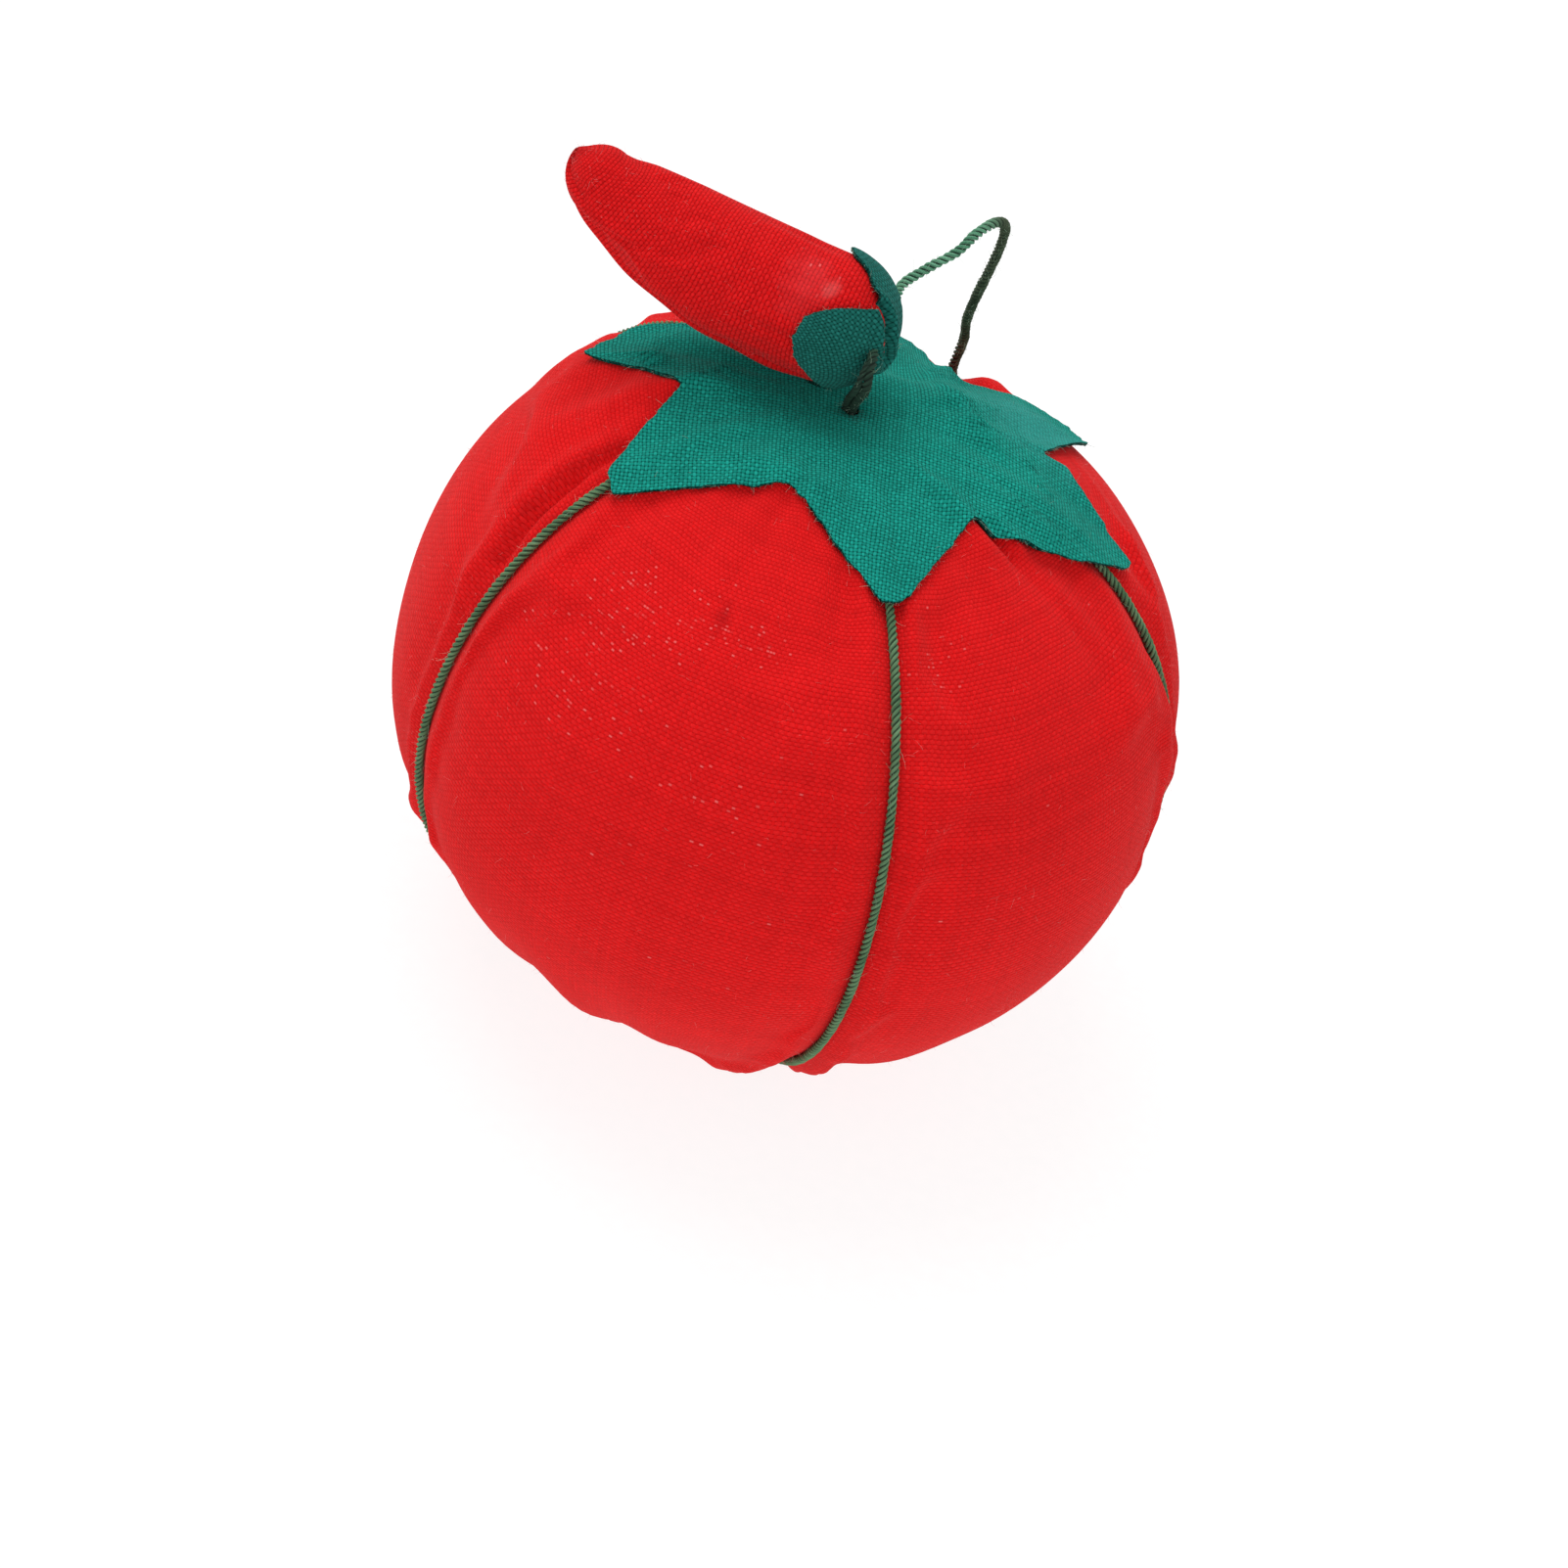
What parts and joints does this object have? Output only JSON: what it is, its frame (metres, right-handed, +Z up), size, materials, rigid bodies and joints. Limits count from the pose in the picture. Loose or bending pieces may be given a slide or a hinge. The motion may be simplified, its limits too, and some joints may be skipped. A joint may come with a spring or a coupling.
{
  "type": "pin cushion",
  "caption": "Stuffed tomato pin cushion in red cotton, wrapped with thread, with a leaf calyx and a small chili needle sharpener on a thread.",
  "frame": {"origin": "centre of the flat base, on the surface that it rests on", "axes": "+Z up through the crown, -Y towards the front, +X to the right"},
  "size_m": [0.0616, 0.0618, 0.0648],
  "materials": {
    "red_cotton": "plain-weave cotton, matt",
    "green_cotton": "plain-weave cotton, cut edges, matt",
    "green_thread": "plied cotton thread, matt",
    "red_thread": "sewing thread, matt",
    "stuffing": "packed fibre",
    "emery": "fine abrasive grit"
  },
  "bodies": {
    "tomato": {"tomato_cover": "red_cotton", "tomato_filling": "stuffing", "segment_thread_1": "green_thread", "segment_thread_2": "green_thread", "segment_thread_3": "green_thread", "segment_thread_4": "green_thread", "segment_thread_5": "green_thread", "cover_gather_thread_top": "red_thread", "cover_gather_thread_base": "red_thread", "base_knot": "green_thread", "calyx": "green_cotton"},
    "tether": {"tether_knot": "green_thread", "tether_thread": "green_thread"},
    "chili": {"chili_cover": "red_cotton", "chili_filling": "emery", "chili_gather_stitch": "red_thread", "chili_cap": "green_cotton"}
  },
  "joints": [
    {"name": "chili_swivel", "type": "hinge", "parent": "tomato", "child": "tether", "pos_m": [-0.0018, 0.002, 0.0507], "axis": [0, 0, 1], "range_deg": [-45, 60], "deforming": ["tether_thread"]},
    {"name": "chili_tilt", "type": "hinge", "parent": "tether", "child": "chili", "pos_m": [-0.00145, -0.0001, 0.0585], "axis": [0.035, 0.9952, 0.0911], "range_deg": [0, 110]}
  ]
}
